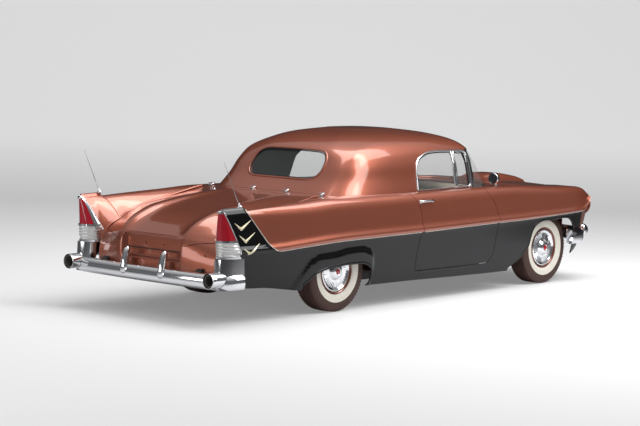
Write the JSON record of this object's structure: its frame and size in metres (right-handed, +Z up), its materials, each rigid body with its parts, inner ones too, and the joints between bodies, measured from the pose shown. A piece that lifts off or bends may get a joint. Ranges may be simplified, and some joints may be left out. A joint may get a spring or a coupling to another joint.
{
  "type": "two-door hardtop car",
  "caption": "Finned two-tone hardtop car of the 1950s with opening doors, hood and deck lid, steered front wheels and a chrome bumper at each end.",
  "frame": {"origin": "on the ground, midway between the tips of the exhausts and the front bumper's bullets, on the car's middle line", "axes": "+X to the car's right, +Y forward, +Z up"},
  "size_m": [1.97, 5.471, 1.5399],
  "materials": {
    "copper_paint": "metallic gloss",
    "black_paint": "gloss",
    "chassis_black": "satin",
    "chrome": "polished",
    "steel": "dull",
    "iron": "matte",
    "glass": "clear",
    "red_lens": "ribbed, translucent",
    "clear_lens": "ribbed",
    "tyre": "matte with a cream sidewall band",
    "upholstery": "woven",
    "rim_paint": "gloss",
    "wheel_plastic": "gloss"
  },
  "bodies": {
    "body": {"frame": "chassis_black", "front_frame": "chassis_black", "front_crossmember": "chassis_black", "engine": "iron", "rear_axle": "chassis_black", "rear_springs": "steel", "front_suspension": "chassis_black", "exhaust": "steel", "tail_pipes": "chrome", "fuel_tank": "steel", "floor_pan": "chassis_black", "quarter_left": "copper_paint", "quarter_right": "copper_paint", "fender_left": "copper_paint", "fender_right": "copper_paint", "sills": "black_paint", "tail_panel": "copper_paint", "rear_shelf": "copper_paint", "cowl": "copper_paint", "nose_panel": "copper_paint", "grille": "chrome", "headlamp_rims": "chrome", "headlamps": "glass", "front_bumper": "chrome", "rear_bumper": "chrome", "tail_lamp_frames": "chrome", "tail_lamps": "red_lens", "reversing_lamps": "clear_lens", "roof": "copper_paint", "rear_window": "glass", "windshield": "glass", "windshield_frame": "chrome", "antennas": "chrome", "front_seat": "upholstery", "rear_seat": "upholstery", "dashboard": "copper_paint", "steering_wheel": "wheel_plastic", "spotlights": "chrome"},
    "door_left": {"door_left": "copper_paint", "door_glass_left": "glass", "door_brightwork_left": "chrome"},
    "door_right": {"door_right": "copper_paint", "door_glass_right": "glass", "door_brightwork_right": "chrome"},
    "hood": {"hood": "copper_paint"},
    "deck_lid": {"deck_lid": "copper_paint"},
    "knuckle_left": {"knuckle_left": "steel"},
    "wheel_front_left": {"wheel_front_left": "rim_paint", "tyre_front_left": "tyre", "hubcap_front_left": "chrome"},
    "wheel_rear_left": {"wheel_rear_left": "rim_paint", "tyre_rear_left": "tyre", "hubcap_rear_left": "chrome"},
    "knuckle_right": {"knuckle_right": "steel"},
    "wheel_front_right": {"wheel_front_right": "rim_paint", "tyre_front_right": "tyre", "hubcap_front_right": "chrome"},
    "wheel_rear_right": {"wheel_rear_right": "rim_paint", "tyre_rear_right": "tyre", "hubcap_rear_right": "chrome"}
  },
  "joints": [
    {"name": "steer_left", "type": "hinge", "parent": "body", "child": "knuckle_left", "pos_m": [-0.7, 1.9355, 0.355], "axis": [0, 0, 1], "range_deg": [-32, 32]},
    {"name": "front_wheel_left", "type": "hinge", "parent": "knuckle_left", "child": "wheel_front_left", "pos_m": [-0.752, 1.9355, 0.355], "axis": [1, 0, 0], "continuous": true},
    {"name": "rear_wheel_left", "type": "hinge", "parent": "body", "child": "wheel_rear_left", "pos_m": [-0.77, -1.1635, 0.355], "axis": [1, 0, 0], "continuous": true},
    {"name": "door_left_swing", "type": "hinge", "parent": "body", "child": "door_left", "pos_m": [-0.985, 1.0238, 0.6], "axis": [0, 0, -1], "range_deg": [0, 65]},
    {"name": "steer_right", "type": "hinge", "parent": "body", "child": "knuckle_right", "pos_m": [0.7, 1.9355, 0.355], "axis": [0, 0, 1], "range_deg": [-32, 32]},
    {"name": "front_wheel_right", "type": "hinge", "parent": "knuckle_right", "child": "wheel_front_right", "pos_m": [0.752, 1.9355, 0.355], "axis": [1, 0, 0], "continuous": true},
    {"name": "rear_wheel_right", "type": "hinge", "parent": "body", "child": "wheel_rear_right", "pos_m": [0.77, -1.1635, 0.355], "axis": [1, 0, 0], "continuous": true},
    {"name": "door_right_swing", "type": "hinge", "parent": "body", "child": "door_right", "pos_m": [0.985, 1.0238, 0.6], "axis": [0, 0, 1], "range_deg": [0, 65]},
    {"name": "hood_lift", "type": "hinge", "parent": "body", "child": "hood", "pos_m": [0, 1.5435, 0.992], "axis": [1, 0, 0], "range_deg": [0, 45]},
    {"name": "deck_lid_lift", "type": "hinge", "parent": "body", "child": "deck_lid", "pos_m": [0, -1.2555, 0.999], "axis": [-1, 0, 0], "range_deg": [0, 50]}
  ],
  "couplings": [
    {"joint": "steer_left", "follows": "steer_right", "ratio": 1}
  ]
}
